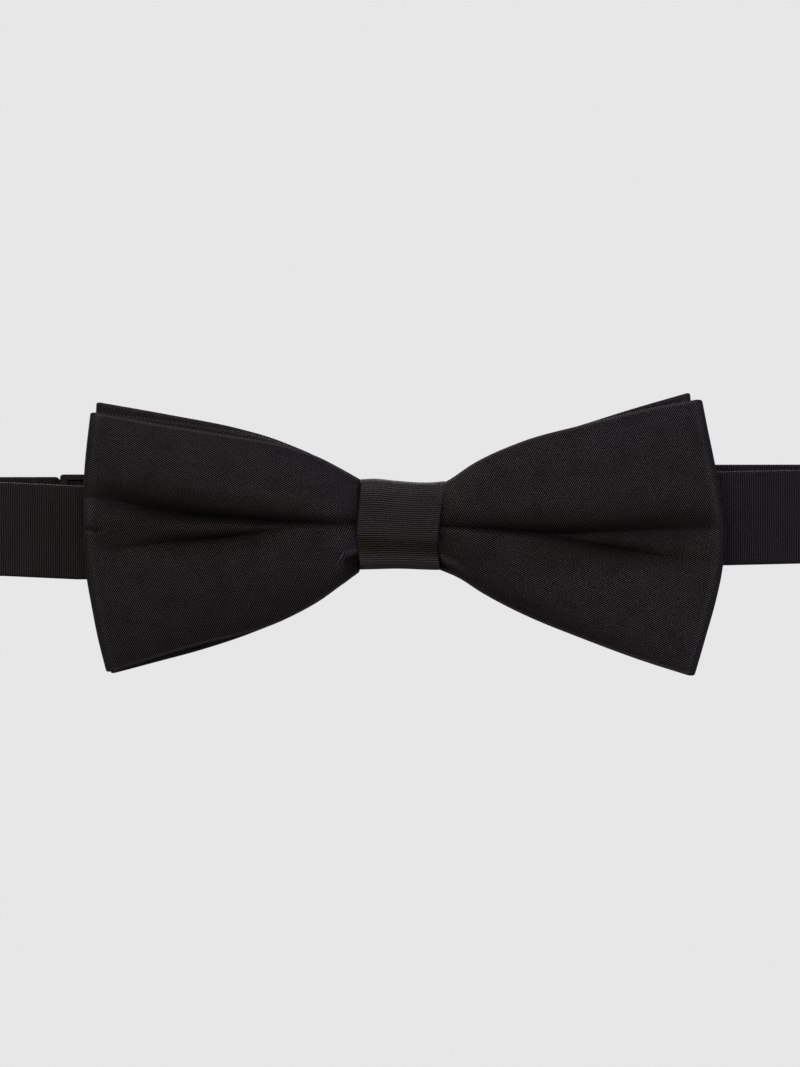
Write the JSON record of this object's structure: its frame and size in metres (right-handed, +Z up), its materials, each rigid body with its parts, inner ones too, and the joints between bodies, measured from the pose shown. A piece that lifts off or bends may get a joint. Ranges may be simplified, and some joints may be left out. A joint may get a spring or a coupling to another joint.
{
  "type": "bow tie",
  "caption": "Black pre-tied bow tie with doubled wings, a wrapped knot and an adjustable neck band with slider, hook and eye.",
  "frame": {"origin": "level with the knot's centre, on the plane of the hook plate's rear face", "axes": "+X to the right as the bow is looked at, +Y from the bow back to the wearer, +Z up"},
  "size_m": [0.208, 0.0203, 0.0522],
  "materials": {
    "bow_twill": "black silk twill, fine diagonal lines, low sheen",
    "knot_rib": "the same black twill turned so its ribs run across the knot",
    "band_rib": "black ribbed band cloth with fine upright ribs, low sheen",
    "interlining": "undyed woven canvas",
    "thread": "black polyester thread",
    "black_metal": "black enamelled steel, satin"
  },
  "bodies": {
    "bow": {"front_bow_cover": "bow_twill", "front_bow_interlining": "interlining", "rear_bow_cover": "bow_twill", "rear_bow_interlining": "interlining", "knot_wrap": "knot_rib", "knot_interlining": "interlining", "gathering_thread": "thread", "knot_seam_stitches": "thread", "band_centre": "band_rib", "band_anchor_stitches": "thread"},
    "left_front_band": {"left_front_band": "band_rib"},
    "left_side_band": {"left_side_band": "band_rib", "left_fold_bend": "band_rib"},
    "left_back_band": {"left_back_band": "band_rib"},
    "left_tail_root": {"left_tail_root": "band_rib"},
    "left_tail": {"left_tail": "band_rib"},
    "hook_strap": {"hook_loop": "band_rib", "adjuster_return": "band_rib"},
    "slider": {"slider": "black_metal", "slider_loop": "band_rib", "slider_bar_tack": "thread"},
    "hook": {"hook": "black_metal"},
    "right_front_band": {"right_front_band": "band_rib"},
    "right_side_band": {"right_side_band": "band_rib", "right_fold_bend": "band_rib"},
    "right_back_band": {"right_back_band": "band_rib"},
    "right_tail": {"right_tail": "band_rib", "eye_bar_tack": "thread"},
    "eye": {"eye": "black_metal"}
  },
  "joints": [
    {"name": "band_open", "type": "hinge", "parent": "bow", "child": "left_front_band", "pos_m": [-0.0086, -0.0094, 0], "axis": [0, 0, -1], "range_deg": [0, 32]},
    {"name": "left_side_bend", "type": "hinge", "parent": "left_front_band", "child": "left_side_band", "pos_m": [-0.0726, -0.0094, 0], "axis": [0, 0, -1], "range_deg": [0, 40.5]},
    {"name": "left_fold_open", "type": "hinge", "parent": "left_side_band", "child": "left_back_band", "pos_m": [-0.1006, -0.00647, 0], "axis": [0, 0, 1], "range_deg": [0, 144.5], "deforming": ["left_fold_bend"]},
    {"name": "left_back_bend", "type": "hinge", "parent": "left_back_band", "child": "left_tail_root", "pos_m": [-0.0726, -0.00355, 0], "axis": [0, 0, -1], "range_deg": [0, 40.5]},
    {"name": "left_tail_swing", "type": "hinge", "parent": "left_tail_root", "child": "left_tail", "pos_m": [-0.0666, -0.00355, 0], "axis": [0, 0, 1], "range_deg": [0, 90]},
    {"name": "length_adjust", "type": "slide", "parent": "left_tail", "child": "hook_strap", "axis": [1, 0, 0], "range_m": [0, 0.015], "deforming": ["adjuster_return"]},
    {"name": "slider_travel", "type": "slide", "parent": "hook_strap", "child": "slider", "axis": [1, 0, 0], "range_m": [0, 0.0152], "deforming": ["adjuster_return"]},
    {"name": "hook_turn", "type": "hinge", "parent": "hook_strap", "child": "hook", "pos_m": [-0.0086, -0.0016, 0], "axis": [0, 0, -1], "range_deg": [0, 32.5]},
    {"name": "right_front_bend", "type": "hinge", "parent": "bow", "child": "right_front_band", "pos_m": [0.0086, -0.0094, 0], "axis": [0, 0, 1], "range_deg": [0, 32.5]},
    {"name": "right_side_bend", "type": "hinge", "parent": "right_front_band", "child": "right_side_band", "pos_m": [0.0726, -0.0094, 0], "axis": [0, 0, 1], "range_deg": [0, 40.5]},
    {"name": "right_fold_open", "type": "hinge", "parent": "right_side_band", "child": "right_back_band", "pos_m": [0.1006, -0.00647, 0], "axis": [0, 0, -1], "range_deg": [0, 144.5], "deforming": ["right_fold_bend"]},
    {"name": "right_back_bend", "type": "hinge", "parent": "right_back_band", "child": "right_tail", "pos_m": [0.0726, -0.00355, 0], "axis": [0, 0, 1], "range_deg": [0, 40.5]},
    {"name": "eye_turn", "type": "hinge", "parent": "right_tail", "child": "eye", "pos_m": [0.0086, -0.00515, 0], "axis": [0, 0, 1], "range_deg": [0, 32.5]}
  ],
  "couplings": [
    {"joint": "left_side_bend", "follows": "band_open", "ratio": 1.25},
    {"joint": "left_fold_open", "follows": "band_open", "ratio": 4.5},
    {"joint": "left_back_bend", "follows": "band_open", "ratio": 1.25},
    {"joint": "slider_travel", "follows": "length_adjust", "ratio": 1},
    {"joint": "hook_turn", "follows": "band_open", "ratio": 1},
    {"joint": "right_front_bend", "follows": "band_open", "ratio": 1},
    {"joint": "right_side_bend", "follows": "band_open", "ratio": 1.25},
    {"joint": "right_fold_open", "follows": "band_open", "ratio": 4.5},
    {"joint": "right_back_bend", "follows": "band_open", "ratio": 1.25},
    {"joint": "eye_turn", "follows": "band_open", "ratio": 1}
  ]
}
